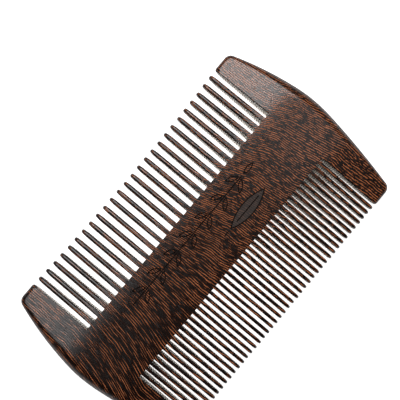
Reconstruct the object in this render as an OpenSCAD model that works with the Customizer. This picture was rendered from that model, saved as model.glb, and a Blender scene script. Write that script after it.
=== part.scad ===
// Two-sided beard comb sawn from one flat board of dark wood.
// X runs along the comb, +Y points to the coarse teeth, +Z is up out of the front face.
// The comb lies on the flat back of its spine. Origin: centre of its box in X and Y, on that back face.

/* [Board] */
// Length over the two rounded ends
comb_length = 115; // [95.8:0.2:138]
// Height from the coarse tips to the fine tips
comb_height = 66.6; // [55.6:0.2:80]
// Thickness of the flat spine
spine_thick = 7; // [5:0.1:10]
// Thickness of the wood at the tips of the teeth
tip_thick = 2.8; // [1.6:0.2:4.4]
// Height of the spine between the bottoms of the two rows of saw cuts
spine_height = 21.9; // [18:0.1:26.4]
// How far the middle of the spine lies above mid height
spine_rise = 0.15; // [-1:0.05:2]
// How far inside the cut bottoms the flat of the spine ends and the taper begins
flat_margin = 0.9; // [0:0.1:2]

/* [Coarse teeth] */
// Number of coarse teeth
coarse_count = 26; // [18:1:31]
// Share of the coarse pitch that is saw cut
coarse_cut_share = 0.53; // [0.4:0.01:0.62]
// Width of the solid end at the first coarse cut
coarse_end_width = 13.44; // [11.2:0.02:16.2]
// Length over which a coarse tooth narrows to its tip
coarse_taper = 2.2; // [1.5:0.1:5]
// Tip radius as a share of the coarse tooth width
coarse_tip_share = 0.42; // [0.2:0.01:0.46]
// How much shorter the middle coarse teeth are than the outer ones
coarse_sag = 0.95; // [0:0.05:2]

/* [Fine teeth] */
// Number of fine teeth
fine_count = 43; // [30:1:50]
// Share of the fine pitch that is saw cut
fine_cut_share = 0.47; // [0.36:0.01:0.58]
// Width of the solid end at the first fine cut
fine_end_width = 13.03; // [11.1:0.02:15.7]
// Length over which a fine tooth narrows to its tip
fine_taper = 1.1; // [0.7:0.1:3]
// Tip radius as a share of the fine tooth width
fine_tip_share = 0.42; // [0.2:0.01:0.46]
// How far the fine row is shifted along the comb from its middle
fine_shift = -0.4; // [-1:0.1:1]

/* [Rounded ends] */
// Height of the longest point of the comb above mid height
peak_rise = 1.9; // [0:0.1:6]
// Radius of the outline beside the coarse teeth
coarse_side_radius = 113; // [94:1:140]
// Radius of the outline beside the fine teeth
fine_side_radius = 290; // [160:1:400]
// Lean of the coarse side arc at the longest point, in degrees
coarse_lean = 3.6; // [2:0.1:5]
// Lean of the fine side arc at the longest point, in degrees
fine_lean = 6.5; // [4:0.1:9]
// Radius of the outer corners at the tips of the solid ends
outer_corner = 2.5; // [1:0.1:3]
// Radius of the corners beside the first and last saw cuts
inner_corner = 0.8; // [0.4:0.1:1.4]

/* [Engraving] */
// Length of the engraved sprig
sprig_length = 58; // [30:1:70]
// Height of the sprig's stem above mid height
sprig_rise = 5; // [3:0.2:6]
// Number of leaf pairs on the sprig
leaf_pairs = 7; // [3:1:8]
// Length of one leaf
leaf_length = 4.8; // [3:0.1:6]
// Width of one leaf
leaf_width = 1.7; // [1:0.1:2.4]
// Angle between a leaf and the stem
leaf_lean = 33; // [20:1:50]
// Length of the single leaf below the sprig
big_leaf_length = 17; // [10:0.5:24]
// Width of the single leaf
big_leaf_width = 4.6; // [3:0.1:5.4]
// How far the single leaf lies below the sprig
big_leaf_drop = 8; // [7.4:0.1:9]
// Where the single leaf starts, along the comb from its middle
big_leaf_start = 8.3; // [-10:0.1:16]
// Length of the stalk outside the single leaf
stalk_length = 2.1; // [1:0.1:4]
// Space between the ends of the single leaf and its midrib
midrib_inset = 3.2; // [2.6:0.1:4]
// Space between a leaf and the middle of its stem
leaf_gap = 0.8; // [0.6:0.1:1.2]
// Width of an engraved line
line_width = 0.36; // [0.2:0.02:0.5]
// Depth of an engraved line
line_depth = 0.25; // [0.1:0.05:0.6]

/* [Hidden] */
$fn = 64;
half_length = comb_length / 2;
half_height = comb_height / 2;
mid_z = spine_thick / 2;
half_tip = tip_thick / 2;
coarse_root = spine_rise + spine_height / 2;
fine_root = spine_height / 2 - spine_rise;
coarse_flat = coarse_root - flat_margin;
fine_flat = fine_root - flat_margin;
coarse_edge = half_length - coarse_end_width;
fine_edge = half_length - fine_end_width;
// A row has one more saw cut than it has teeth, so the cuts and teeth fill the space between walls.
coarse_pitch = 2 * coarse_edge / (coarse_count + coarse_cut_share);
fine_pitch = 2 * fine_edge / (fine_count + fine_cut_share);
coarse_width = coarse_pitch * (1 - coarse_cut_share);
fine_width = fine_pitch * (1 - fine_cut_share);
left_fine_wall = fine_edge - fine_shift;
right_fine_wall = fine_edge + fine_shift;
left_seam = seam_x(left_fine_wall);
right_seam = seam_x(right_fine_wall);
peak = [half_length, peak_rise];
coarse_centre = peak - coarse_side_radius * [cos(coarse_lean), sin(coarse_lean)];
fine_centre = peak - fine_side_radius * [cos(fine_lean), -sin(fine_lean)];
// Extra length of cutting shapes past the faces they cut.
over = 2;
// The round nose seen from the side stands this far past the nose seen from the front, so the
// two curved faces of a tip cross at a clean angle.
nose_lead = 0.06;
// How much larger the nose is than one that would just touch both faces of the tooth, so that it
// crosses them at a clean angle.
nose_spare = 1.08;
// Where the sides of a tooth run, as a share of the tip radius, level with the centre of the tip.
side_share = 0.93;

// Where an end begins: clear of the outermost teeth of both rows, which stand on the spine.
function seam_x(fine_wall) = max(coarse_edge, fine_wall);

// Half thickness of the board at a distance y from mid height, on a side whose flat ends at flat_y.
function half_thick(y, flat_y) =
    y < flat_y ? mid_z : mid_z - (mid_z - half_tip) * (y - flat_y) / (half_height - flat_y);

// Angle of the taper of one face on that side.
function taper_angle(flat_y) = atan((mid_z - half_tip) / (half_height - flat_y));

// Radius of the round nose seen from the side, for a tooth that reaches to y = tip.
function nose_radius(tip, flat_y) =
    nose_spare * (cos(taper_angle(flat_y)) * half_tip + (half_height - tip) * sin(taper_angle(flat_y)))
    / (1 - sin(taper_angle(flat_y)));

// The other short side of a right triangle whose long side is radius and one short side is along.
function across(radius, along) = sqrt(radius * radius - along * along);

// Section of the board across its length: flat spine, both faces tapering to the tips.
module board_section() {
    polygon([
        [-half_height, mid_z - half_tip],
        [-fine_flat, 0],
        [coarse_flat, 0],
        [half_height, mid_z - half_tip],
        [half_height, mid_z + half_tip],
        [coarse_flat, spine_thick],
        [-fine_flat, spine_thick],
        [-half_height, mid_z + half_tip]
    ]);
}

module tapered_board() {
    translate([-half_length - over, 0, 0])
        rotate([90, 0, 90])
            linear_extrude(comb_length + 2 * over)
                board_section();
}

// A disc as thick as the spine with a half-round rim.
module rim_disc(centre, radius) {
    translate([centre[0], centre[1], 0])
        rotate_extrude($fn = 180) {
            square([radius - mid_z, spine_thick]);
            translate([radius - mid_z, mid_z])
                intersection() {
                    circle(r = mid_z);
                    translate([-mid_z / 2, -mid_z])
                        square([2 * mid_z, spine_thick]);
                }
        }
}

// The rounded rim of the right end: two arcs that meet at the longest point.
module rounded_rim() {
    intersection() {
        rim_disc(coarse_centre, coarse_side_radius);
        rim_disc(fine_centre, fine_side_radius);
    }
}

// The piece to cut away outside a rounded corner, seen from the corner circle's centre.
module corner_wedge(centre, arc_centre, side) {
    out = centre - arc_centre;
    reach = 4 * outer_corner;
    far = centre + out * reach / norm(out);
    polygon([
        centre,
        [centre[0], centre[1] + side * reach],
        [centre[0] + reach, centre[1] + side * reach],
        far
    ]);
}

// Outline of the right solid end, its outer side left long for the rounded rim to cut.
// fine_wall is where the wall beside the first fine cut stands.
module end_outline(fine_wall) {
    coarse_corner_y = half_height - outer_corner;
    coarse_corner = [
        coarse_centre[0]
            + across(coarse_side_radius - outer_corner, coarse_corner_y - coarse_centre[1]),
        coarse_corner_y
    ];
    fine_corner_y = outer_corner - half_height;
    fine_corner = [
        fine_centre[0] + across(fine_side_radius - outer_corner, fine_corner_y - fine_centre[1]),
        fine_corner_y
    ];
    fine_step = fine_wall < coarse_edge ? [[coarse_edge, -fine_root], [fine_wall, -fine_root]] : [];
    coarse_step = fine_wall > coarse_edge ? [[coarse_edge, coarse_root], [fine_wall, coarse_root]] : [];
    difference() {
        polygon(concat(
            fine_step,
            [
                [fine_wall, -half_height],
                [half_length + over, -half_height],
                [half_length + over, half_height],
                [coarse_edge, half_height]
            ],
            coarse_step
        ));
        corner_wedge(coarse_corner, coarse_centre, 1);
        corner_wedge(fine_corner, fine_centre, -1);
        translate([coarse_edge - over, half_height - inner_corner])
            square([over + inner_corner, over]);
        translate([fine_wall - over, inner_corner - half_height - over])
            square([over + inner_corner, over]);
    }
    translate(coarse_corner)
        circle(r = outer_corner);
    translate(fine_corner)
        circle(r = outer_corner);
    translate([coarse_edge + inner_corner, half_height - inner_corner])
        circle(r = inner_corner);
    translate([fine_wall + inner_corner, inner_corner - half_height])
        circle(r = inner_corner);
}

module solid_end(fine_wall) {
    intersection() {
        tapered_board();
        linear_extrude(spine_thick)
            end_outline(fine_wall);
        rounded_rim();
    }
}

// A broad strip up to the centre of a round nose, with the nose on it.
module nosed_strip(root, tip, radius, half_breadth) {
    translate([-half_breadth, root])
        square([2 * half_breadth, tip - radius - root]);
    translate([0, tip - radius])
        circle(r = radius);
}

// One tooth seen from the front: straight sides, then a taper into a round tip.
module tooth_front(width, root, tip, taper, radius) {
    narrowing = (width / 2 - side_share * radius) / (taper - radius);
    intersection() {
        polygon([
            [-width / 2, root],
            [width / 2, root],
            [width / 2, tip - taper],
            [width / 2 - narrowing * taper, tip],
            [narrowing * taper - width / 2, tip],
            [-width / 2, tip - taper]
        ]);
        nosed_strip(root, tip, radius, width);
    }
}

// One tooth seen from its side, as thickness across and height up: the taper of the board,
// ending in a round nose.
module tooth_side(root, tip, flat_y) {
    intersection() {
        polygon([
            [-half_thick(root, flat_y), root],
            [half_thick(root, flat_y), root],
            [half_thick(tip, flat_y), tip],
            [-half_thick(tip, flat_y), tip]
        ]);
        nosed_strip(root, tip, nose_radius(tip, flat_y), spine_thick);
    }
}

module tooth(width, root, tip, flat_y, taper, radius) {
    intersection() {
        linear_extrude(spine_thick)
            tooth_front(width, root, tip, taper, radius);
        translate([-width, 0, mid_z])
            rotate([0, 90, 0])
                linear_extrude(2 * width)
                    tooth_side(root, tip + nose_lead, flat_y);
    }
}

// A row of teeth on the +Y side. The middle ones are shorter by sag.
module tooth_row(count, pitch, width, root, flat_y, taper, radius, sag) {
    last_x = (count - 1) / 2 * pitch;
    for (i = [0 : count - 1]) {
        x = i * pitch - last_x;
        tip = half_height - sag * (1 - pow(x / last_x, 2));
        translate([x, 0, 0])
            tooth(width, root, tip, flat_y, taper, radius);
    }
}

// A pointed leaf as a thin line: the space between two pairs of crossing arcs.
module leaf_line(length, width) {
    radius = (length * length + width * width) / (4 * width);
    offset_y = radius - width / 2;
    translate([length / 2, 0])
        difference() {
            intersection() {
                translate([0, offset_y]) circle(r = radius);
                translate([0, -offset_y]) circle(r = radius);
            }
            intersection() {
                translate([0, offset_y]) circle(r = radius - line_width);
                translate([0, -offset_y]) circle(r = radius - line_width);
            }
        }
}

// A straight stem with pairs of leaves and one leaf at its end. No two lines touch.
module sprig() {
    stem = sprig_length - leaf_length - leaf_gap;
    step = stem / leaf_pairs;
    translate([-sprig_length / 2, -line_width / 2])
        square([stem, line_width]);
    for (i = [1 : leaf_pairs]) {
        translate([i * step - sprig_length / 2, 0]) {
            rotate(180 - leaf_lean) translate([leaf_gap, 0]) leaf_line(leaf_length, leaf_width);
            rotate(180 + leaf_lean) translate([leaf_gap, 0]) leaf_line(leaf_length, leaf_width);
        }
    }
    translate([sprig_length / 2 - leaf_length, 0])
        leaf_line(leaf_length, leaf_width);
}

// A larger leaf with its stalk outside it and its midrib inside it.
module single_leaf() {
    leaf_line(big_leaf_length, big_leaf_width);
    translate([-leaf_gap - stalk_length, -line_width / 2])
        square([stalk_length, line_width]);
    translate([midrib_inset, -line_width / 2])
        square([big_leaf_length - 2 * midrib_inset, line_width]);
}

module engraving() {
    translate([0, sprig_rise])
        sprig();
    translate([big_leaf_start, sprig_rise - big_leaf_drop])
        single_leaf();
}

module spine() {
    color([0.17, 0.11, 0.085])
        difference() {
            intersection() {
                tapered_board();
                translate([-left_seam, -fine_root, 0])
                    cube([left_seam + right_seam, spine_height, spine_thick]);
            }
            translate([0, 0, spine_thick - line_depth])
                linear_extrude(line_depth + over)
                    engraving();
        }
}

module right_end() {
    color([0.19, 0.12, 0.09])
        solid_end(right_fine_wall);
}

module left_end() {
    color([0.19, 0.12, 0.09])
        mirror([1, 0, 0])
            solid_end(left_fine_wall);
}

module coarse_teeth() {
    color([0.23, 0.15, 0.115])
        tooth_row(coarse_count, coarse_pitch, coarse_width, coarse_root, coarse_flat,
            coarse_taper, coarse_width * coarse_tip_share, coarse_sag);
}

module fine_teeth() {
    color([0.21, 0.135, 0.1])
        translate([fine_shift, 0, 0]) mirror([0, 1, 0])
            tooth_row(fine_count, fine_pitch, fine_width, fine_root, fine_flat,
                fine_taper, fine_width * fine_tip_share, 0);
}

spine();
left_end();
right_end();
coarse_teeth();
fine_teeth();
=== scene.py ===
import math
import random

import bmesh
import bpy
import numpy as np
from mathutils import Matrix, Vector
from mathutils.geometry import delaunay_2d_cdt


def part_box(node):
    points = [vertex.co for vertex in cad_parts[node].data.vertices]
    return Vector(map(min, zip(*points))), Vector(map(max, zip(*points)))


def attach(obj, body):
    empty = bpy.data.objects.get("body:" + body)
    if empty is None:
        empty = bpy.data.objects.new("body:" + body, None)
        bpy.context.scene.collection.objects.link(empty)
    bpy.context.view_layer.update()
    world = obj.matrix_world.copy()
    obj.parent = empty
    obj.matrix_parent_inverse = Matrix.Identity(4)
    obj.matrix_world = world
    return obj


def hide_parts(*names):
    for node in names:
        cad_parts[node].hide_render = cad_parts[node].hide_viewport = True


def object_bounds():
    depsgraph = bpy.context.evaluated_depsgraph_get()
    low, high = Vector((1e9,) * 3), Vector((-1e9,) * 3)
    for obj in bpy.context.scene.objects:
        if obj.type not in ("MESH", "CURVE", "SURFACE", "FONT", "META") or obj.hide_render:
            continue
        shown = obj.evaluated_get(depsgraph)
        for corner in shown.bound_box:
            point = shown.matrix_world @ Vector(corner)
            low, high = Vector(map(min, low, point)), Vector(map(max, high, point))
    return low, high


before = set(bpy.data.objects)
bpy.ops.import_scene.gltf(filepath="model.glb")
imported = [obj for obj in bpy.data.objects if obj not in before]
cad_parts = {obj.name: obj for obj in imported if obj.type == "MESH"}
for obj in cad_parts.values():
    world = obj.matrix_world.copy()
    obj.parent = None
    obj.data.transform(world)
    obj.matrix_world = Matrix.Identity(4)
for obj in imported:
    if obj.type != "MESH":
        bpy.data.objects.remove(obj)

MM = 0.001
cad_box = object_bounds()

# ---------------------------------------------------------------- camera

EYE_MM = Vector((-8.9, 0.75, 262.1))
AIM_MM = Vector((1.9, 2.05, 3.5))
UP_LEAN_DEG = 40.0
LENS_MM = 73.8
SENSOR_MM = 36.0
SHIFT_ACROSS = -0.011
SHIFT_UP = 0.088
CLIP_START_M = 0.01


def make_camera():
    """Looks almost straight down on the front face, with the comb running up to the right."""
    data = bpy.data.cameras.new("comb_camera")
    data.lens = LENS_MM
    data.sensor_width = SENSOR_MM
    data.shift_x = SHIFT_ACROSS
    data.shift_y = SHIFT_UP
    data.clip_start = CLIP_START_M
    camera = bpy.data.objects.new("comb_camera", data)
    bpy.context.scene.collection.objects.link(camera)
    forward = (AIM_MM - EYE_MM).normalized()
    lean = math.radians(UP_LEAN_DEG)
    up_hint = Vector((math.cos(lean), math.sin(lean), 0.0))
    right = forward.cross(up_hint).normalized()
    up = right.cross(forward)
    turn = Matrix((right, up, -forward)).transposed().to_4x4()
    camera.matrix_world = Matrix.Translation(EYE_MM * MM) @ turn
    bpy.context.scene.camera = camera


make_camera()

# ---------------------------------------------------------------- sizes of the board, in mm


def box_mm(node):
    """The low and high corner of a node of the CAD model, in mm."""
    low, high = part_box(node)
    return low / MM, high / MM


spine_low, spine_high = box_mm("spine")
_, end_high = box_mm("right_end")
coarse_low, coarse_high = box_mm("coarse_teeth")
fine_low, fine_high = box_mm("fine_teeth")

THICK = spine_high.z
MID = THICK / 2
HALF_HEIGHT = end_high.y
HALF_LENGTH = end_high.x
SPINE_ENDS = (spine_low.x, spine_high.x)
# Side 1 is the coarse side, side -1 the fine side. ROOT is where the teeth start, FLAT where
# the board starts to taper, both as distances from mid height.
ROOT = {1: spine_high.y, -1: -spine_low.y}
FLAT_MARGIN = 0.9
FLAT = {1: ROOT[1] - FLAT_MARGIN, -1: ROOT[-1] - FLAT_MARGIN}
HALF_TIP = 1.4
# The sharp line where the taper starts is blended this far to each side of it.
CREASE_BLEND = 4.5
CREASE_STEPS = 6
# How far the edges of the saw cuts are eased by sanding.
CUT_EASE = 0.18
# Rows of a mesh closer together than this are drawn as one.
LEAST_ROW_GAP = 0.012
NEAR_ZERO = 1e-6

# A cut's share of the pitch, how far the middle tips fall short of the outer ones, and the
# length of the tapered tip.
COARSE_COUNT = 26
COARSE_CUT_SHARE = 0.53
COARSE_SAG = 0.95
COARSE_TAPER = 2.2
COARSE_ROUNDNESS = 0.95
FINE_COUNT = 43
FINE_CUT_SHARE = 0.47
FINE_SAG = 0.0
FINE_TAPER = 1.1
FINE_ROUNDNESS = 0.9
# The radius of a tip, as a share of the tooth's width.
TIP_SHARE = 0.42


def row_sizes(low, high, count, share):
    """Pitch, tooth width, and how far the solid ends' walls stand from the middle of the row."""
    span = high.x - low.x
    pitch = span / (count - share)
    return pitch, pitch * (1 - share), span / 2 + pitch * share


COARSE_PITCH, COARSE_WIDTH, COARSE_WALL = row_sizes(
    coarse_low, coarse_high, COARSE_COUNT, COARSE_CUT_SHARE)
FINE_PITCH, FINE_WIDTH, FINE_HALF_ROW = row_sizes(
    fine_low, fine_high, FINE_COUNT, FINE_CUT_SHARE)
FINE_SHIFT = (fine_low.x + fine_high.x) / 2


def half_thick(y):
    """Half thickness of the board at height y, with the start of the taper blended."""
    side = 1 if y > 0 else -1
    along = abs(y) - FLAT[side]
    slope = (MID - HALF_TIP) / (HALF_HEIGHT - FLAT[side])
    if along <= -CREASE_BLEND:
        return MID
    if along >= CREASE_BLEND:
        return MID - slope * along
    return MID - slope * (along + CREASE_BLEND) ** 2 / (4 * CREASE_BLEND)


def crease_rows(side):
    """Heights of mesh rows across the blended start of the taper."""
    return [side * (FLAT[side] + CREASE_BLEND * k / CREASE_STEPS)
            for k in range(-CREASE_STEPS, CREASE_STEPS + 1)]


def spaced_rows(rows):
    """The rows in order, without those that lie too close to the one before."""
    kept = [rows[0]]
    for y in rows[1:]:
        if abs(y - kept[-1]) > LEAST_ROW_GAP:
            kept.append(y)
    return kept


def smooth_step(t):
    return t * t * (3 - 2 * t)


def ease_drop(distance, radius):
    """How far a sanded edge falls below the face at a distance from the edge."""
    if distance >= radius:
        return 0.0
    return radius - math.sqrt(radius ** 2 - (radius - distance) ** 2)


# ---------------------------------------------------------------- mesh helpers

MERGE_MM = 1e-4
DEGENERATE_MM = 1e-5
FACE_WEIGHT = 60


def finish_mesh(name, bm, materials, sharp_deg):
    """Turns a bmesh in mm into a smooth-shaded object in metres."""
    bmesh.ops.remove_doubles(bm, verts=bm.verts, dist=MERGE_MM)
    bmesh.ops.dissolve_degenerate(bm, edges=bm.edges, dist=DEGENERATE_MM)
    bmesh.ops.recalc_face_normals(bm, faces=bm.faces)
    bmesh.ops.scale(bm, vec=(MM, MM, MM), verts=bm.verts)
    mesh = bpy.data.meshes.new(name)
    bm.to_mesh(mesh)
    bm.free()
    mesh.shade_smooth()
    mesh.set_sharp_from_angle(angle=math.radians(sharp_deg))
    for material in materials:
        mesh.materials.append(material)
    piece = bpy.data.objects.new(name, mesh)
    bpy.context.scene.collection.objects.link(piece)
    weigh = piece.modifiers.new("even_faces", "WEIGHTED_NORMAL")
    weigh.keep_sharp = True
    weigh.weight = FACE_WEIGHT
    return piece


# Places of the four kinds of surface in each piece's list of materials.
SANDED, SAWN, ENGRAVED, ETCHED = 0, 1, 2, 3


def add_face(bm, corners, material=SANDED):
    """A face on the given vertices, left out where they have run together into a line."""
    unique = list(dict.fromkeys(corners))
    if len(unique) < 3:
        return
    face = bm.faces.new(unique)
    face.material_index = material


# ---------------------------------------------------------------- teeth

# Steps round each of a tooth's four long edges.
CORNER_STEPS = 5
# Radius of a tooth's edges at its root, and the share of its length over which they grow round.
ROOT_EDGE = 0.2
ROUNDING_SHARE = 0.3
LEAST_EDGE = 0.02
# A radius stays a little under half the width, so the sides keep some flat.
MOST_RADIUS = 0.98
# Rows of a tooth: one just above the root, then those of its shaft, its taper and its tip.
FIRST_ROW = 0.5
SHAFT_STEPS = 9
TAPER_STEPS = 4
TIP_STEPS = 6
LAST_TIP_DEG = 86
# Saw marks end this share of the taper before the tip.
SANDED_TIP_SHARE = 0.7
# What differs from tooth to tooth.
SHORTER_BY = (0.0, 0.14)
WIDER_BY = (0.985, 1.01)
BLUNTER_BY = (0.95, 1.05)
LEANS_BY = (-0.05, 0.05)
TOOTH_SHARP_DEG = 50.0


def tooth_section(half_width, half_depth, radius):
    """Points round one tooth: four rounded corners joined by straight sides, as (x, z)."""
    radius = min(radius, half_width * MOST_RADIUS, half_depth * MOST_RADIUS)
    points = []
    for quarter, (sx, sz) in enumerate(((1, 1), (-1, 1), (-1, -1), (1, -1))):
        for k in range(CORNER_STEPS + 1):
            angle = math.radians(90 * quarter + 90 * k / CORNER_STEPS)
            points.append((
                sx * (half_width - radius) + radius * math.cos(angle),
                sz * (half_depth - radius) + radius * math.sin(angle),
            ))
    return points


def nose_half(y, tip, radius):
    """Half the width or depth, at height y, of a round nose of this radius at the tip."""
    return math.sqrt(max(radius ** 2 - (y - tip + radius) ** 2, NEAR_ZERO))


def add_tooth(bm, x, side, width, root, tip, taper, tip_radius, roundness, lean):
    """One tooth: square and crisp at its root, rounder towards a blunt point."""
    half = width / 2
    slope = math.atan((MID - HALF_TIP) / (HALF_HEIGHT - FLAT[side]))
    depth_radius = math.cos(slope) * HALF_TIP + (HALF_HEIGHT - tip) * math.sin(slope)
    depth_radius /= 1 - math.sin(slope)
    to_centre = taper - tip_radius
    reach = math.hypot(half, to_centre)
    turn = math.acos(tip_radius / reach) - math.atan2(to_centre, half)
    touch_x = tip_radius * math.cos(turn)
    touch_y = tip - tip_radius + tip_radius * math.sin(turn)
    straight = tip - taper
    first = root + FIRST_ROW
    rows = [root - CUT_EASE, root, first]
    rows += [first + (straight - first) * k / SHAFT_STEPS for k in range(1, SHAFT_STEPS + 1)]
    rows += [straight + (touch_y - straight) * k / TAPER_STEPS for k in range(1, TAPER_STEPS + 1)]
    tip_turn = math.radians(LAST_TIP_DEG) - turn
    rows += [tip - tip_radius + tip_radius * math.sin(turn + tip_turn * k / TIP_STEPS)
             for k in range(1, TIP_STEPS + 1)]
    rings = []
    for y in rows:
        if y <= straight:
            across = half
        elif y <= touch_y:
            across = half + (touch_x - half) * (y - straight) / (touch_y - straight)
        else:
            across = nose_half(y, tip, tip_radius)
        deep = half_thick(side * y)
        if y > tip - depth_radius:
            deep = min(deep, nose_half(y, tip, depth_radius))
        t = max(0.0, (y - root) / (tip - root))
        radius = across
        if across > ROOT_EDGE:
            grown = smooth_step(min(1.0, t / ROUNDING_SHARE))
            radius = ROOT_EDGE + (across * roundness - ROOT_EDGE) * grown
        section = tooth_section(across, deep, max(radius, LEAST_EDGE))
        rings.append([bm.verts.new((x + px + lean * t, side * y, MID + pz))
                      for px, pz in section])
    point = bm.verts.new((x + lean, side * tip, MID))
    count = len(rings[0])
    walls = (CORNER_STEPS + 1) * 2 - 1, (CORNER_STEPS + 1) * 4 - 1
    for i, (a, b) in enumerate(zip(rings, rings[1:])):
        sawn_here = rows[i] < tip - taper * SANDED_TIP_SHARE
        for k in range(count):
            material = SAWN if k in walls and sawn_here else SANDED
            add_face(bm, (a[k], a[(k + 1) % count], b[(k + 1) % count], b[k]), material)
    for k in range(count):
        add_face(bm, (rings[-1][k], rings[-1][(k + 1) % count], point))
    add_face(bm, tuple(rings[0]))


def make_teeth(name, side, middle, count, pitch, width, taper, sag, roundness, seed, materials):
    """One row of teeth, each a little different from the next as sanded teeth are."""
    bm = bmesh.new()
    draw = random.Random(seed)
    last_x = (count - 1) / 2 * pitch
    for i in range(count):
        x = i * pitch - last_x
        tip = HALF_HEIGHT - sag * (1 - (x / last_x) ** 2) - draw.uniform(*SHORTER_BY)
        add_tooth(
            bm, middle + x, side, width * draw.uniform(*WIDER_BY), ROOT[side], tip, taper,
            width * TIP_SHARE * draw.uniform(*BLUNTER_BY), roundness, draw.uniform(*LEANS_BY))
    return finish_mesh(name, bm, materials, TOOTH_SHARP_DEG)


# ---------------------------------------------------------------- solid ends

# The outline is two long arcs that meet at the longest point, above mid height.
PEAK_RISE = 1.9
COARSE_SIDE_RADIUS = 113.0
FINE_SIDE_RADIUS = 290.0
COARSE_LEAN_DEG = 3.6
FINE_LEAN_DEG = 6.5
PEAK_BLEND = 1.2
OUTER_CORNER = 2.5
INNER_CORNER = 0.8
RIM_WIDTH_SPINE = 3.6
RIM_WIDTH_TIP = 1.3
MOST_RIM_SHARE = 0.45
RIM_STEPS = 10
# Rows of a solid end, as distances from the tips and from the roots of the teeth.
NEAR_TIP_ROWS = (1.55, 1.85, 2.2, 2.6, 3.1)
GUARD_START = 3.9
GUARD_END = 0.9
GUARD_STEPS = 18
NEAR_ROOT_ROWS = (0.4, 0.15, 0.0, -CUT_EASE / 2, -CUT_EASE)
FLAT_STEPS = 14
# Columns of a solid end, as distances from the saw cut, then evenly up to the rim.
INNER_STEPS = (0.0, 0.05, 0.11, CUT_EASE, 0.4)
FACE_STEPS = 9
# Points on the outline from which the roundness of the rim is measured.
INNER_CORNER_STEPS = 8
OUTER_CORNER_STEPS = 14
OUTLINE_STEPS = 160
END_SHARP_DEG = 48.0


def arc_centre(radius, lean_deg, side):
    """Centre of a long arc that passes through the longest point."""
    lean = math.radians(lean_deg)
    return (HALF_LENGTH - radius * math.cos(lean), PEAK_RISE - side * radius * math.sin(lean))


COARSE_ARC = arc_centre(COARSE_SIDE_RADIUS, COARSE_LEAN_DEG, 1)
FINE_ARC = arc_centre(FINE_SIDE_RADIUS, FINE_LEAN_DEG, -1)


def outline_x(y):
    """Where the long outline of a solid end lies at height y."""
    a = COARSE_ARC[0] + math.sqrt(COARSE_SIDE_RADIUS ** 2 - (y - COARSE_ARC[1]) ** 2)
    b = FINE_ARC[0] + math.sqrt(FINE_SIDE_RADIUS ** 2 - (y - FINE_ARC[1]) ** 2)
    spread = max(PEAK_BLEND - abs(a - b), 0.0) / PEAK_BLEND
    return min(a, b) - spread * spread * PEAK_BLEND / 4


def corner_centre(side):
    """Centre of the round corner at the tip of a solid end."""
    y = side * (HALF_HEIGHT - OUTER_CORNER)
    arc, radius = (COARSE_ARC, COARSE_SIDE_RADIUS) if side > 0 else (FINE_ARC, FINE_SIDE_RADIUS)
    x = arc[0] + math.sqrt((radius - OUTER_CORNER) ** 2 - (y - arc[1]) ** 2)
    return x, y, arc


CORNER = {1: corner_centre(1), -1: corner_centre(-1)}


def corner_start(side):
    """Height at which the round corner takes over from the long outline."""
    x, y, arc = CORNER[side]
    away = math.hypot(x - arc[0], y - arc[1])
    return y + OUTER_CORNER * (y - arc[1]) / away


def outer_x(y):
    """Where a solid end stops at height y, with its round corners."""
    side = 1 if y > 0 else -1
    if side * y <= side * corner_start(side):
        return outline_x(y)
    x, centre_y, _ = CORNER[side]
    return x + math.sqrt(max(OUTER_CORNER ** 2 - (y - centre_y) ** 2, 0.0))


def inner_x(y, fine_wall):
    """Where a solid end begins at height y: at the spine, or at the wall of a saw cut."""
    side = 1 if y > 0 else -1
    if side * y > ROOT[side] - NEAR_ZERO:
        wall = COARSE_WALL if side > 0 else fine_wall
    else:
        wall = max(COARSE_WALL, fine_wall)
    past = abs(y) - (HALF_HEIGHT - INNER_CORNER)
    if past <= 0:
        return wall
    return wall + INNER_CORNER - math.sqrt(max(INNER_CORNER ** 2 - past ** 2, 0.0))


def rim_width(y):
    """How far the rounding of the rim reaches in at height y, more where the board is thick."""
    share = (half_thick(y) - HALF_TIP) / (MID - HALF_TIP)
    return RIM_WIDTH_TIP + (RIM_WIDTH_SPINE - RIM_WIDTH_TIP) * share


def end_rows():
    """Heights of the rows of a solid end, close together where the surface curves."""
    rows = []
    for side in (1, -1):
        tip_rows = [
            RIM_WIDTH_TIP * (1 - math.cos(math.radians(90 * k / RIM_STEPS)))
            for k in range(RIM_STEPS + 1)
        ]
        rows += [side * (HALF_HEIGHT - d) for d in (*tip_rows, *NEAR_TIP_ROWS)]
        first, last = HALF_HEIGHT - GUARD_START, ROOT[side] + GUARD_END
        rows += [side * (first + (last - first) * k / GUARD_STEPS)
                 for k in range(GUARD_STEPS + 1)]
        rows += [side * (ROOT[side] + d) for d in NEAR_ROOT_ROWS]
        rows += crease_rows(side)
    low, high = -FLAT[-1] + CREASE_BLEND, FLAT[1] - CREASE_BLEND
    rows += [low + (high - low) * k / FLAT_STEPS for k in range(1, FLAT_STEPS)]
    return spaced_rows(sorted(rows, reverse=True))


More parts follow.
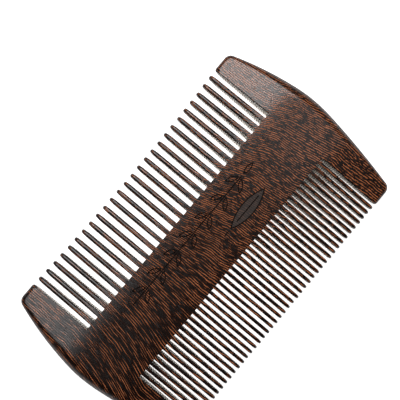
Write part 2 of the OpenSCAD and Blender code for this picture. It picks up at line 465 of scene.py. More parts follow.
def rim_path(fine_wall):
    """The rounded part of the outline as points, from the coarse wall to the fine wall."""
    points = []
    for side in (1, -1):
        part = []
        wall = COARSE_WALL if side > 0 else fine_wall
        tip_y = side * HALF_HEIGHT
        for k in range(INNER_CORNER_STEPS + 1):
            angle = math.radians(180 - 90 * k / INNER_CORNER_STEPS)
            part.append((
                wall + INNER_CORNER + INNER_CORNER * math.cos(angle),
                tip_y - side * (INNER_CORNER - INNER_CORNER * math.sin(angle)),
            ))
        x, y, _ = CORNER[side]
        last_angle = math.asin(abs(corner_start(side) - y) / OUTER_CORNER)
        for k in range(OUTER_CORNER_STEPS + 1):
            angle = math.pi / 2 + (last_angle - math.pi / 2) * k / OUTER_CORNER_STEPS
            part.append((
                x + OUTER_CORNER * math.cos(angle),
                y + side * OUTER_CORNER * math.sin(angle),
            ))
        points.append(part)
    top, bottom = corner_start(1), corner_start(-1)
    heights = [top + (bottom - top) * k / OUTLINE_STEPS for k in range(OUTLINE_STEPS + 1)]
    middle = [(outline_x(y), y) for y in heights]
    return np.array(points[0] + middle + points[1][::-1])


def distances_to_path(points, path):
    """Distance of each point from the nearest place on a line through the path's points."""
    starts = path[:-1]
    steps = path[1:] - starts
    sizes = np.maximum((steps ** 2).sum(1), NEAR_ZERO ** 2)
    best = np.full(len(points), np.inf)
    for start, step, size in zip(starts, steps, sizes):
        t = np.clip(((points - start) @ step) / size, 0, 1)
        gap = np.hypot(*(points - start - t[:, None] * step).T)
        best = np.minimum(best, gap)
    return best


def make_end(name, mirror, materials):
    """One solid end, built as the right one; the left one has its x turned round."""
    fine_wall = FINE_HALF_ROW + (-FINE_SHIFT if mirror else FINE_SHIFT)
    rows = end_rows()
    grid = []
    for y in rows:
        left, right = inner_x(y, fine_wall), outer_x(y)
        width = min(rim_width(y), (right - left) * MOST_RIM_SHARE)
        inner = [left + d for d in INNER_STEPS]
        rim = [right - width * (1 - math.cos(math.radians(90 * k / RIM_STEPS)))
               for k in range(RIM_STEPS, -1, -1)]
        gap = rim[0] - inner[-1]
        between = [inner[-1] + gap * k / FACE_STEPS for k in range(1, FACE_STEPS)]
        grid.append([(x, y) for x in inner + between + rim])
    columns = len(grid[0])
    flat = np.array(grid).reshape(-1, 2)
    gaps = distances_to_path(flat, rim_path(fine_wall)).reshape(len(rows), columns)
    bm = bmesh.new()
    front, back = [], []
    for i, y in enumerate(rows):
        side = 1 if y > 0 else -1
        past_root = abs(y) > ROOT[side] + NEAR_ZERO
        beyond = abs(y) - (HALF_HEIGHT - INNER_CORNER)
        width = rim_width(y)
        front_row, back_row = [], []
        for j in range(columns):
            x = grid[i][j][0]
            share = min(gaps[i][j] / width, 1.0)
            on_rim = j == columns - 1 or i in (0, len(rows) - 1) or (j == 0 and beyond > 0)
            height = 0.0 if on_rim else half_thick(y) * math.sqrt(1 - (1 - share) ** 2)
            if past_root and not on_rim:
                height = max(height - ease_drop(x - inner_x(y, fine_wall), CUT_EASE), 0.0)
            px = -x if mirror else x
            front_row.append(bm.verts.new((px, y, MID + height)))
            back_row.append(front_row[-1] if on_rim else bm.verts.new((px, y, MID - height)))
        front.append(front_row)
        back.append(back_row)
    for i in range(len(rows) - 1):
        for j in range(columns - 1):
            add_face(bm, (front[i][j], front[i + 1][j], front[i + 1][j + 1], front[i][j + 1]))
            add_face(bm, (back[i][j], back[i][j + 1], back[i + 1][j + 1], back[i + 1][j]))
        add_face(bm, (front[i][0], back[i][0], back[i + 1][0], front[i + 1][0]), SAWN)
    return finish_mesh(name, bm, materials, END_SHARP_DEG)


# ---------------------------------------------------------------- spine and its engraving

# A sprig of paired leaves along the spine, and a single large leaf below it.
SPRIG_LENGTH = 58.0
SPRIG_RISE = 5.0
LEAF_PAIRS = 7
LEAF_LENGTH = 4.8
LEAF_WIDTH = 1.7
LEAF_LEAN_DEG = 33.0
LEAF_GAP = 0.8
BIG_LEAF_LENGTH = 17.0
BIG_LEAF_WIDTH = 4.6
BIG_LEAF_DROP = 8.0
BIG_LEAF_START = 8.3
STALK_LENGTH = 2.1
MIDRIB_INSET = 3.2
LEAF_STEPS = 12
BIG_LEAF_STEPS = 24
LINE_WIDTH = 0.36
LINE_DEPTH = 0.25
# Across a groove, as shares of its width and its depth: sloping walls and a flat floor.
WALL_SHARE = 0.3
GROOVE_SHAPE = ((0.0, 0.0), (WALL_SHARE, 1.0), (1 - WALL_SHARE, 1.0), (1.0, 0.0))
# Rows near the saw cuts, as distances from the roots of the teeth.
SPINE_EDGE_ROWS = (0.0, 0.03, 0.08, 0.13, CUT_EASE)
SPINE_SHARP_DEG = 32.0
SAME_PLACE_DIGITS = 4


def placed(points, x, y, turn_deg):
    """Points turned about the origin and then moved."""
    turn = math.radians(turn_deg)
    c, s = math.cos(turn), math.sin(turn)
    return [(x + px * c - py * s, y + px * s + py * c) for px, py in points]


def leaf_loop(length, width, inset, steps):
    """A pointed leaf whose two arcs are drawn in by inset, starting at the origin."""
    radius = (length ** 2 + width ** 2) / (4 * width)
    drop = radius - width / 2
    radius -= inset
    half = math.sqrt(radius ** 2 - drop ** 2)
    edge = math.asin(half / radius)
    upper = [
        (length / 2 + radius * math.sin(edge * (2 * k / steps - 1)),
         radius * math.cos(edge * (2 * k / steps - 1)) - drop)
        for k in range(steps + 1)
    ]
    lower = [(x, -y) for x, y in upper[-2:0:-1]]
    return upper + lower


def leaf_grooves(length, width, x, y, turn_deg, gap, steps=LEAF_STEPS):
    """The groove round a leaf, as nested loops with their depths."""
    loops = []
    for share, depth in GROOVE_SHAPE:
        loop = leaf_loop(length, width, LINE_WIDTH * share, steps)
        loop = [(px + gap, py) for px, py in loop]
        loops.append((placed(loop, x, y, turn_deg), depth))
    return loops


def bar_grooves(x0, x1, y):
    """A straight groove from x0 to x1: its rim and its narrower floor."""
    loops = []
    for inset, depth in ((0.0, 0.0), (LINE_WIDTH * WALL_SHARE, 1.0)):
        half = LINE_WIDTH / 2 - inset
        loops.append((
            [(x0 + inset, y - half), (x1 - inset, y - half),
             (x1 - inset, y + half), (x0 + inset, y + half)], depth))
    return loops


def engraved_lines():
    """All loops of the engraving, with their depths as shares of the full depth."""
    stem = SPRIG_LENGTH - LEAF_LENGTH - LEAF_GAP
    start = -SPRIG_LENGTH / 2
    loops = bar_grooves(start, start + stem, SPRIG_RISE)
    for i in range(1, LEAF_PAIRS + 1):
        x = start + i * stem / LEAF_PAIRS
        for turn in (180 - LEAF_LEAN_DEG, 180 + LEAF_LEAN_DEG):
            loops += leaf_grooves(LEAF_LENGTH, LEAF_WIDTH, x, SPRIG_RISE, turn, LEAF_GAP)
    loops += leaf_grooves(LEAF_LENGTH, LEAF_WIDTH, -start - LEAF_LENGTH, SPRIG_RISE, 0, 0)
    x, y = BIG_LEAF_START, SPRIG_RISE - BIG_LEAF_DROP
    loops += leaf_grooves(BIG_LEAF_LENGTH, BIG_LEAF_WIDTH, x, y, 0, 0, BIG_LEAF_STEPS)
    loops += bar_grooves(x - LEAF_GAP - STALK_LENGTH, x - LEAF_GAP, y)
    loops += bar_grooves(x + MIDRIB_INSET, x + BIG_LEAF_LENGTH - MIDRIB_INSET, y)
    return loops


def inside_big_leaf(point):
    """Whether a point lies within the outline of the single leaf."""
    x = point.x - BIG_LEAF_START - BIG_LEAF_LENGTH / 2
    y = point.y - SPRIG_RISE + BIG_LEAF_DROP
    radius = (BIG_LEAF_LENGTH ** 2 + BIG_LEAF_WIDTH ** 2) / (4 * BIG_LEAF_WIDTH)
    return math.hypot(x, abs(y) + radius - BIG_LEAF_WIDTH / 2) < radius


def spine_rows():
    """Heights of the rows of the spine, close together at its eased edges."""
    rows = []
    for side in (1, -1):
        rows += [side * (ROOT[side] - d) for d in SPINE_EDGE_ROWS]
        rows += [y for y in crease_rows(side) if abs(y) < ROOT[side] - CUT_EASE]
    return spaced_rows(sorted(rows))


def spine_height(y):
    """How far the spine's faces stand from its middle, eased at the roots of the teeth."""
    side = 1 if y > 0 else -1
    return half_thick(y) - ease_drop(ROOT[side] - abs(y), CUT_EASE)


def front_height(x, y):
    """Like spine_height, but not eased where the spine runs on under a solid end."""
    if y > 0 and abs(x) > COARSE_WALL:
        return half_thick(y)
    return spine_height(y)


def place_key(x, y):
    return round(x, SAME_PLACE_DIGITS), round(y, SAME_PLACE_DIGITS)


def make_spine(name, materials):
    """The flat middle of the board, with the engraving sunk into its front face."""
    rows = spine_rows()
    points, edges, depths = [], [], []
    across = (SPINE_ENDS[0], -COARSE_WALL, SPINE_ENDS[1])
    for y in rows:
        points += [(x, y) for x in across]
        depths += [0.0] * len(across)
        last = len(points) - 1
        edges += [(last - 2, last - 1), (last - 1, last)]
    for loop, depth in engraved_lines():
        first = len(points)
        points += loop
        depths += [depth * LINE_DEPTH] * len(loop)
        edges += [(first + k, first + (k + 1) % len(loop)) for k in range(len(loop))]
    flat, _, faces, origins, _, _ = delaunay_2d_cdt(
        [Vector(p) for p in points], edges, [], 0, NEAR_ZERO)
    bm = bmesh.new()
    front = []
    for p, origin in zip(flat, origins):
        depth = max((depths[k] for k in origin), default=0.0)
        front.append(bm.verts.new((p.x, p.y, MID + front_height(p.x, p.y) - depth)))
    for face in faces:
        sunk = any(depths[k] > 0 for vertex in face for k in origins[vertex])
        if sunk:
            finish = ENGRAVED
        else:
            middle = sum((flat[k] for k in face), Vector((0, 0))) / len(face)
            finish = ETCHED if inside_big_leaf(middle) else SANDED
        add_face(bm, tuple(front[k] for k in face), finish)
    back = [[bm.verts.new((x, y, MID - spine_height(y))) for x in SPINE_ENDS]
            for y in rows]
    for a, b in zip(back, back[1:]):
        add_face(bm, (a[0], b[0], b[1], a[1]))
    front_at = {}
    for v in front:
        front_at[place_key(v.co.x, v.co.y)] = v
    ends = [[front_at[place_key(x, y)] for x in SPINE_ENDS] for y in rows]
    for i in range(len(rows) - 1):
        for s in (0, 1):
            add_face(bm, (ends[i][s], ends[i + 1][s], back[i + 1][s], back[i][s]))
    for i in (0, len(rows) - 1):
        add_face(bm, (ends[i][0], ends[i][1], back[i][1], back[i][0]), SAWN)
    return finish_mesh(name, bm, materials, SPINE_SHARP_DEG)


# ---------------------------------------------------------------- node helpers

MIX_FIRST_COLOR, MIX_SECOND_COLOR, MIX_COLOR_RESULT = 6, 7, 2
FLOAT, COLOR, VECTOR = "NodeSocketFloat", "NodeSocketColor", "NodeSocketVector"


class Wiring:
    """Short calls for making and joining nodes in one tree."""

    def __init__(self, tree):
        self.tree = tree

    def node(self, kind, **settings):
        made = self.tree.nodes.new(kind)
        for key, value in settings.items():
            setattr(made, key, value)
        return made

    def join(self, source, target):
        self.tree.links.new(source, target)

    def feed(self, target, value):
        """Joins a socket to the target, or sets the target to a plain value."""
        if hasattr(value, "is_output"):
            self.join(value, target)
        else:
            target.default_value = value

    def math(self, operation, *values, clamp=False):
        made = self.node("ShaderNodeMath", operation=operation, use_clamp=clamp)
        for target, value in zip(made.inputs, values):
            self.feed(target, value)
        return made.outputs[0]

    def sine(self, turns):
        return self.math("SINE", self.math("MULTIPLY", turns, 2 * math.pi))

    def total(self, first, *others):
        for other in others:
            first = self.math("ADD", first, other)
        return first

    def vector(self, operation, *values):
        made = self.node("ShaderNodeVectorMath", operation=operation)
        for target, value in zip(made.inputs, values):
            self.feed(target, value)
        return made.outputs[0]

    def scaled(self, source, scale):
        return self.vector("MULTIPLY", source, scale)

    def length(self, source):
        made = self.node("ShaderNodeVectorMath", operation="LENGTH")
        self.join(source, made.inputs[0])
        return made.outputs["Value"]

    def split(self, source):
        """The x, y and z of a vector."""
        made = self.node("ShaderNodeSeparateXYZ")
        self.join(source, made.inputs[0])
        return made.outputs["X"], made.outputs["Y"], made.outputs["Z"]

    def noise(self, place, scale, detail, roughness):
        """Noise with this many cells to a unit of place along x, y and z."""
        made = self.node("ShaderNodeTexNoise")
        self.join(self.scaled(place, scale), made.inputs["Vector"])
        made.inputs["Scale"].default_value = 1.0
        made.inputs["Detail"].default_value = detail
        made.inputs["Roughness"].default_value = roughness
        return made.outputs["Fac"]

    def spread(self, value, low, high, out_low=0.0, out_high=1.0, soft=True):
        """Maps low..high to out_low..out_high and holds it level beyond."""
        made = self.node("ShaderNodeMapRange")
        made.interpolation_type = "SMOOTHSTEP" if soft else "LINEAR"
        self.feed(made.inputs["Value"], value)
        for key, number in (("From Min", low), ("From Max", high),
                            ("To Min", out_low), ("To Max", out_high)):
            self.feed(made.inputs[key], number)
        return made.outputs["Result"]

    def mix(self, share, first, second, blend="MIX"):
        made = self.node("ShaderNodeMix", data_type="RGBA", blend_type=blend)
        self.feed(made.inputs["Factor"], share)
        self.feed(made.inputs[MIX_FIRST_COLOR], first)
        self.feed(made.inputs[MIX_SECOND_COLOR], second)
        return made.outputs[MIX_COLOR_RESULT]

    def bump(self, height, strength, distance):
        made = self.node("ShaderNodeBump")
        made.inputs["Strength"].default_value = strength
        made.inputs["Distance"].default_value = distance
        self.join(height, made.inputs["Height"])
        return made.outputs["Normal"]


def new_group(name, inputs, outputs):
    """An empty node group, its wiring, and its input and output nodes."""
    tree = bpy.data.node_groups.new(name, "ShaderNodeTree")
    for label, kind, value in inputs:
        socket = tree.interface.new_socket(label, in_out="INPUT", socket_type=kind)
        if value is not None:
            socket.default_value = value
    for label, kind in outputs:
        tree.interface.new_socket(label, in_out="OUTPUT", socket_type=kind)
    wiring = Wiring(tree)
    return tree, wiring, wiring.node("NodeGroupInput"), wiring.node("NodeGroupOutput")


# ---------------------------------------------------------------- figure of the wood

# Noises that bend the grain, in cells a mm along x, y and z. The grain itself runs along y.
SWEEP_CELLS = (0.009, 0.03, 0.03)
WAVE_CELLS = (0.035, 0.16, 0.1)
STREWN_CELLS = (0.06, 0.07, 0.1)
STREWN_SPREAD = (0.45, 0.7, 0.1, 0.55)
# The strongest figure: its middle in mm, one over its reach, and where it fades out.
FLAME_PLACE = (14.0, -5.0, 3.5)
FLAME_SIZE = (1 / 30, 1 / 13, 1 / 30)
FLAME_SPREAD = (0.5, 1.3, 1.0, 0.0)
# How far the grain leans off the line of the teeth, as low x, high x, lean before, lean after.
LEFT_LEAN = (-55.0, 15.0, -0.3, 0.3)
RIGHT_LEAN = (36.0, 56.0, 0.0, 0.06)
LEAN_REACH = 14.0
# The lines are drawn out towards the left and shorter towards the right, as low x, high x,
# share added to y before and after.
DRAWN_OUT = (-35.0, 50.0, -0.5, 0.55)


def make_figure_group():
    """Bends the straight grain: long sweeps all over, and waves where the figure is strong."""
    tree, w, inside, out = new_group(
        "grain_figure",
        [("Place", VECTOR, None), ("Sweep", FLOAT, 8.0), ("Wave", FLOAT, 3.0)],
        [("Bent", VECTOR)])
    place = inside.outputs["Place"]
    slow = w.noise(place, SWEEP_CELLS, 1.0, 0.4)
    sweep = w.math("MULTIPLY", w.math("SUBTRACT", slow, 0.5), inside.outputs["Sweep"])
    away = w.length(w.scaled(w.vector("SUBTRACT", place, FLAME_PLACE), FLAME_SIZE))
    flame = w.spread(away, *FLAME_SPREAD)
    strewn = w.spread(w.noise(place, STREWN_CELLS, 1.0, 0.5), *STREWN_SPREAD)
    waviness = w.math("MAXIMUM", flame, strewn)
    quick = w.noise(place, WAVE_CELLS, 2.0, 0.4)
    wave = w.math("MULTIPLY", w.math("SUBTRACT", quick, 0.5), inside.outputs["Wave"])
    wave = w.math("MULTIPLY", wave, waviness)
    x, y, _ = w.split(place)
    lean = w.math("ADD", w.spread(x, *LEFT_LEAN), w.spread(x, *RIGHT_LEAN))
    held_y = w.spread(y, -LEAN_REACH, LEAN_REACH, -LEAN_REACH, LEAN_REACH, soft=False)
    lean = w.math("MULTIPLY", lean, held_y)
    shift = w.node("ShaderNodeCombineXYZ")
    w.join(w.total(sweep, wave, lean), shift.inputs["X"])
    w.join(w.math("MULTIPLY", y, w.spread(x, *DRAWN_OUT)), shift.inputs["Y"])
    w.join(w.vector("ADD", place, shift.outputs[0]), out.inputs["Bent"])
    return tree


# ---------------------------------------------------------------- grain

# Two sets of stripes that drift against each other give the lines their spacing.
STRIPES_PER_MM = 1.42
SECOND_STRIPES_PER_MM = 1.75
STRIPE_DRIFT = 2.4
DRIFT_CELLS = (0.16, 0.06, 0.15)
# Noises that break the stripes up, in cells a mm along x, y and z.
LINE_CELLS = (3.2, 0.3, 1.0)
THREAD_CELLS = (4.6, 0.5, 1.8)
FIBRE_CELLS = (8.0, 0.4, 4.0)
PATCH_CELLS = (0.16, 0.045, 0.15)
PORE_CELLS = (1.5, 0.36, 1.2)
# What each adds to the level, whose height decides between dark, middle and warm wood.
STRIPE_WEIGHT = 0.112
SECOND_STRIPE_WEIGHT = 0.045
LINE_WEIGHT = 0.24
THREAD_WEIGHT = 0.46
BASE_LEVEL = 0.15
PATCH_WEIGHT = 0.04
# Darker towards the left and lighter in the ends, as low, high, added before, added after.
LEVEL_BY_X = (-40, 15, -0.026, 0.006)
LEVEL_AT_RIGHT = (34, 48, 0.0, 0.018)
LEVEL_IN_GUARDS = (42, 46, 0.0, 0.025)
GUARD_RISE = (12, 26)
MIDDLE_LEVELS = (0.45, 0.56)
WARM_LEVELS = (0.56, 0.64)
PORE_EDGE = (0.1, 0.22, 1.0, 0.0)
PORE_STRENGTH = 0.8
PORE_COLOR = (0.004, 0.003, 0.003, 1)
FIBRE_SHADE = (0.3, 0.7, 0.6, 1.4)


def make_grain_group():
    """Fine warm lines on near-black wood, with fibres between them and small open pores."""
    tree, w, inside, out = new_group(
        "dark_wood_grain",
        [("Place", VECTOR, None), ("Dark", COLOR, (0.01, 0.005, 0.004, 1)),
         ("Middle", COLOR, (0.06, 0.02, 0.01, 1)), ("Warm", COLOR, (0.2, 0.07, 0.03, 1))],
        [("Color", COLOR), ("Lines", FLOAT), ("Pores", FLOAT), ("Fibres", FLOAT)])
    figure = w.node("ShaderNodeGroup", node_tree=make_figure_group())
    w.join(inside.outputs["Place"], figure.inputs["Place"])
    bent = figure.outputs["Bent"]
    bent_x, _, _ = w.split(bent)
    drift = w.noise(bent, DRIFT_CELLS, 1.0, 0.5)
    stripes = w.sine(w.math("ADD", w.math("MULTIPLY", bent_x, STRIPES_PER_MM),
                            w.math("MULTIPLY", drift, STRIPE_DRIFT)))
    second = w.sine(w.math("ADD", w.math("MULTIPLY", bent_x, SECOND_STRIPES_PER_MM),
                           w.math("MULTIPLY", drift, -STRIPE_DRIFT)))
    lines = w.noise(bent, LINE_CELLS, 1.0, 0.5)
    threads = w.noise(bent, THREAD_CELLS, 1.0, 0.5)
    fibres = w.noise(bent, FIBRE_CELLS, 2.0, 0.6)
    patches = w.math("SUBTRACT", w.noise(bent, PATCH_CELLS, 2.0, 0.5), 0.5)
    x, y, _ = w.split(inside.outputs["Place"])
    in_guards = w.math("MULTIPLY", w.spread(w.math("ABSOLUTE", x), *LEVEL_IN_GUARDS),
                       w.spread(y, *GUARD_RISE))
    level = w.total(
        w.math("MULTIPLY", stripes, STRIPE_WEIGHT),
        w.math("MULTIPLY", second, SECOND_STRIPE_WEIGHT),
        w.math("MULTIPLY", lines, LINE_WEIGHT),
        w.math("MULTIPLY", threads, THREAD_WEIGHT),
        BASE_LEVEL,
        w.math("MULTIPLY", patches, PATCH_WEIGHT),
        w.spread(x, *LEVEL_BY_X),
        in_guards,
        w.spread(x, *LEVEL_AT_RIGHT))
    brown = w.spread(level, *MIDDLE_LEVELS)
    warm = w.spread(level, *WARM_LEVELS)
    pores = w.node("ShaderNodeTexVoronoi", feature="F1")
    w.join(w.scaled(bent, PORE_CELLS), pores.inputs["Vector"])
    pores.inputs["Scale"].default_value = 1.0
    pits = w.spread(pores.outputs["Distance"], *PORE_EDGE)
    color = w.mix(brown, inside.outputs["Dark"], inside.outputs["Middle"])
    color = w.mix(warm, color, inside.outputs["Warm"])
    shade = w.spread(fibres, *FIBRE_SHADE)
    tone = w.node("ShaderNodeCombineColor")
    for channel in tone.inputs[:3]:
        w.join(shade, channel)
    color = w.mix(1.0, color, tone.outputs[0], "MULTIPLY")
    color = w.mix(w.math("MULTIPLY", pits, PORE_STRENGTH), color, PORE_COLOR)
    w.join(color, out.inputs["Color"])
    w.join(brown, out.inputs["Lines"])
    w.join(pits, out.inputs["Pores"])
    w.join(fibres, out.inputs["Fibres"])
    return tree


MM_PER_M = (1000.0, 1000.0, 1000.0)


def make_place_group():
    """Where a point lies in the board, in mm, so the grain runs on from piece to piece."""
    tree, w, _, out = new_group("board_place", [], [("Place", VECTOR)])
    where = w.node("ShaderNodeTexCoord")
    w.join(w.scaled(where.outputs["Object"], MM_PER_M), out.inputs["Place"])
    return tree


# ---------------------------------------------------------------- materials

PLACE_GROUP = make_place_group()
GRAIN_GROUP = make_grain_group()


def start_material(name):
    material = bpy.data.materials.new(name)
    material.use_nodes = True
    tree = material.node_tree
    tree.nodes.clear()
    w = Wiring(tree)
    shader = w.node("ShaderNodeBsdfPrincipled")
    result = w.node("ShaderNodeOutputMaterial")
    w.join(shader.outputs["BSDF"], result.inputs["Surface"])
    return material, w, shader


def add_place(w):
    return w.node("ShaderNodeGroup", node_tree=PLACE_GROUP).outputs["Place"]


def add_grain(w, place, dark, middle, warm):
    """The shared grain in three colours of its own."""
    grain = w.node("ShaderNodeGroup", node_tree=GRAIN_GROUP)
    w.join(place, grain.inputs["Place"])
    grain.inputs["Dark"].default_value = dark
    grain.inputs["Middle"].default_value = middle
    grain.inputs["Warm"].default_value = warm
    return grain.outputs


# The rims and the sides of the teeth turn away from the front. Their colour gets a painted shade,
# darkened towards near-black as if in shadow, and they are made rougher.
FLANK_SPREAD = (0.5, 0.985, 1.0, 0.0)
FLANK_SHADE_SHARE = 0.85
FLANK_PAINTED_SHADE = (0.011, 0.0038, 0.0022, 1)
FLANK_ROUGHER = 0.3
PORES_ROUGHER = 0.3
# The warm lines shine a little more than the dark wood.
DARK_ROUGHNESS = 0.27
LINE_ROUGHNESS = 0.16
FIBRE_HEIGHT = 0.35


def make_satin_wood():
    """The sanded and oiled faces."""
    material, w, shader = start_material("satin_dark_wood")
    grain = add_grain(w, add_place(w), (0.006, 0.0022, 0.0012, 1),
                      (0.020, 0.0065, 0.004, 1), (0.46, 0.15, 0.062, 1))
    _, _, facing = w.split(w.node("ShaderNodeNewGeometry").outputs["Normal"])
    flank = w.spread(w.math("ABSOLUTE", facing), *FLANK_SPREAD)
    # Painted shade: faces that turn away from the front are darkened towards near-black.
    color = w.mix(w.math("MULTIPLY", flank, FLANK_SHADE_SHARE), grain["Color"], FLANK_PAINTED_SHADE)
    w.join(color, shader.inputs["Base Color"])
    rough = w.spread(grain["Lines"], 0.0, 1.0, DARK_ROUGHNESS, LINE_ROUGHNESS)
    rough = w.math("ADD", rough, w.math("MULTIPLY", flank, FLANK_ROUGHER))
    rough = w.math("ADD", rough, w.math("MULTIPLY", grain["Pores"], PORES_ROUGHER), clamp=True)
    w.join(rough, shader.inputs["Roughness"])
    height = w.math("SUBTRACT", w.math("MULTIPLY", grain["Fibres"], FIBRE_HEIGHT),
                    grain["Pores"])
    w.join(w.bump(height, strength=0.06, distance=0.00004), shader.inputs["Normal"])
    shader.inputs["Specular IOR Level"].default_value = 0.5
    return material


SAW_MARKS_PER_MM = 1.4
SAW_WANDER = 1.5
SAW_WANDER_CELLS = (0.4, 0.5, 0.25)
# Pale dust fills the saw marks, and less of it where the wall is rubbed.
HATCH_SPREAD = (-0.95, 0.1)
RUBBED_CELLS = (0.5, 0.9, 0.5)
RUBBED_SPREAD = (0.25, 0.55, 0.35, 1.0)
DUST_COLOR = (0.84, 0.83, 0.79, 1)
DUST_SHARE = 0.95


def make_sawn_wood():
    """The matte walls of the saw cuts, dusty, with marks across the wall."""
    material, w, shader = start_material("sawn_dark_wood")
    place = add_place(w)
    grain = add_grain(w, place, (0.07, 0.055, 0.045, 1),
                      (0.15, 0.11, 0.09, 1), (0.28, 0.20, 0.15, 1))
    _, y, _ = w.split(place)
    wander = w.noise(place, SAW_WANDER_CELLS, 2.0, 0.5)
    marks = w.sine(w.math("ADD", w.math("MULTIPLY", y, SAW_MARKS_PER_MM),
                          w.math("MULTIPLY", wander, SAW_WANDER)))
    rubbed = w.noise(place, RUBBED_CELLS, 2.0, 0.6)
    dust = w.math("MULTIPLY", w.spread(marks, *HATCH_SPREAD),
                  w.spread(rubbed, *RUBBED_SPREAD))
    color = w.mix(w.math("MULTIPLY", dust, DUST_SHARE), grain["Color"], DUST_COLOR)
    w.join(color, shader.inputs["Base Color"])
    shader.inputs["Roughness"].default_value = 0.9
    height = w.math("MULTIPLY", marks, 0.5)
    w.join(w.bump(height, strength=0.5, distance=0.00008), shader.inputs["Normal"])
    return material


SOOT_CELLS = (3.0, 3.0, 3.0)
SOOT_ROUGHNESS = (0.3, 0.7, 0.75, 0.95)


def make_burnt_line():
    """The engraved lines: the wood scorched nearly black and left matte."""
    material, w, shader = start_material("burnt_line_wood")
    soot = w.noise(add_place(w), SOOT_CELLS, 2.0, 0.5)
    color = w.mix(soot, (0.004, 0.0025, 0.002, 1), (0.022, 0.012, 0.009, 1))
    w.join(color, shader.inputs["Base Color"])
    w.join(w.spread(soot, *SOOT_ROUGHNESS), shader.inputs["Roughness"])
    shader.inputs["Specular IOR Level"].default_value = 0.15
    return material


ETCHED_CELLS = (5.0, 5.0, 5.0)
ETCHED_ROUGHNESS = (0.3, 0.7, 0.6, 0.8)


def make_etched_leaf():
    """The filled leaf: grain still shows, but the surface is dulled and greyed."""
    material, w, shader = start_material("etched_leaf_wood")
    place = add_place(w)
    grain = add_grain(w, place, (0.022, 0.014, 0.011, 1),
                      (0.045, 0.027, 0.021, 1), (0.10, 0.052, 0.036, 1))
    w.join(grain["Color"], shader.inputs["Base Color"])
    w.join(w.spread(grain["Fibres"], *ETCHED_ROUGHNESS), shader.inputs["Roughness"])
    height = w.noise(place, ETCHED_CELLS, 2.0, 0.6)
    w.join(w.bump(height, strength=0.4, distance=0.00006), shader.inputs["Normal"])
    return material


# ---------------------------------------------------------------- comb

wood = (make_satin_wood(), make_sawn_wood(), make_burnt_line(), make_etched_leaf())

pieces = {
    "spine": make_spine("spine_wood", wood),
    "left_end": make_end("left_end_wood", True, wood),
    "right_end": make_end("right_end_wood", False, wood),
    "coarse_teeth": make_teeth(
        "coarse_teeth_wood", 1, 0.0, COARSE_COUNT, COARSE_PITCH, COARSE_WIDTH,
        taper=COARSE_TAPER, sag=COARSE_SAG, roundness=COARSE_ROUNDNESS, seed=11,
        materials=wood),
    "fine_teeth": make_teeth(
        "fine_teeth_wood", -1, FINE_SHIFT, FINE_COUNT, FINE_PITCH, FINE_WIDTH,
        taper=FINE_TAPER, sag=FINE_SAG, roundness=FINE_ROUNDNESS, seed=12,
        materials=wood),
}

for node_name, piece in pieces.items():
    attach(piece, "root")
    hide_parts(node_name)

# ---------------------------------------------------------------- floor and light

FLOOR_REACH = 3.0
FLOOR_CELLS = 8
FLOOR_GAP = 0.0002
FLOOR_SPECKS = (30.0, 30.0, 30.0)
# The floor glows most in an ellipse under the comb, given as one over its reach in metres,
# and fades outside it. The camera sees it evenly pale.
GLOW_ELLIPSE = (1 / 0.056, 1 / 0.036, 0.0)
GLOW_FADE = (0.9, 1.2)
FLOOR_GLOW = 2.3
FAR_GLOW = 0.8
SEEN_GLOW = 0.95
WHITE = (1, 1, 1, 1)
# The world is pale at the horizon and dim overhead, with the change at these heights.
HORIZON_GLOW = 0.15
ZENITH_GLOW = 0.02
GLOW_HEIGHTS = (0.2, 0.6)


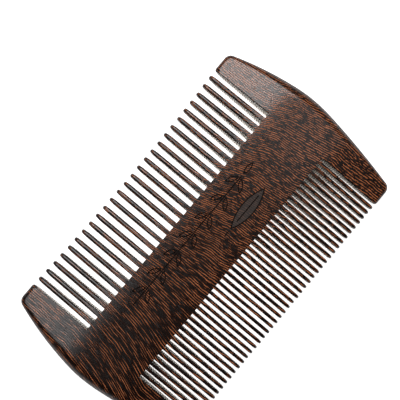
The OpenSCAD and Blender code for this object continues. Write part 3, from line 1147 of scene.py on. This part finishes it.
def make_floor():
    """The pale surface that the comb lies on, glowing softly as a light table does."""
    bm = bmesh.new()
    bmesh.ops.create_grid(
        bm, x_segments=FLOOR_CELLS, y_segments=FLOOR_CELLS, size=FLOOR_REACH)
    mesh = bpy.data.meshes.new("pale_floor")
    bm.to_mesh(mesh)
    bm.free()
    material, w, shader = start_material("pale_floor")
    # The specks keep the floor from being one flat colour.
    place = w.node("ShaderNodeTexCoord").outputs["Object"]
    specks = w.noise(place, FLOOR_SPECKS, 2.0, 0.5)
    shade = w.mix(specks, (0.80, 0.80, 0.80, 1), (0.84, 0.84, 0.84, 1))
    w.join(shade, shader.inputs["Base Color"])
    shader.inputs["Roughness"].default_value = 0.9
    shader.inputs["Specular IOR Level"].default_value = 0.1
    shader.inputs["Emission Color"].default_value = WHITE
    seen = w.node("ShaderNodeLightPath").outputs["Is Camera Ray"]
    away = w.length(w.scaled(place, GLOW_ELLIPSE))
    glow = w.spread(away, *GLOW_FADE, FLOOR_GLOW, FAR_GLOW)
    w.join(w.spread(seen, 0, 1, glow, SEEN_GLOW), shader.inputs["Emission Strength"])
    mesh.materials.append(material)
    floor = bpy.data.objects.new("pale_floor", mesh)
    floor.location.z = cad_box[0].z - FLOOR_GAP
    bpy.context.scene.collection.objects.link(floor)


def add_softbox(name, place, size, power):
    """A soft rectangular light aimed at the comb, in metres and watts."""
    data = bpy.data.lights.new(name, "AREA")
    data.shape = "RECTANGLE"
    data.size, data.size_y = size
    data.energy = power
    lamp = bpy.data.objects.new(name, data)
    lamp.location = place
    lamp.rotation_euler = (-Vector(place)).to_track_quat("-Z", "Y").to_euler()
    bpy.context.scene.collection.objects.link(lamp)


def make_world():
    """Pale round the horizon, as the walls of a light tent are, and dim overhead."""
    world = bpy.data.worlds.new("studio")
    world.use_nodes = True
    w = Wiring(world.node_tree)
    _, _, height = w.split(w.node("ShaderNodeTexCoord").outputs["Generated"])
    background = world.node_tree.nodes["Background"]
    background.inputs["Color"].default_value = WHITE
    glow = w.spread(height, *GLOW_HEIGHTS, HORIZON_GLOW, ZENITH_GLOW)
    seen = w.node("ShaderNodeLightPath").outputs["Is Camera Ray"]
    w.join(w.math("MAXIMUM", glow, seen), background.inputs["Strength"])
    bpy.context.scene.world = world


def make_light():
    make_world()
    add_softbox("key_softbox", (0.21, 0.315, 0.645), (0.55, 0.35), 3.7)
    add_softbox("left_softbox", (-0.13, 0.23, 0.68), (0.22, 0.2), 0.46)
    add_softbox("right_softbox", (0.34, -0.08, 0.66), (0.2, 0.45), 0.22)


make_floor()
make_light()
bpy.context.scene.view_settings.view_transform = "Standard"
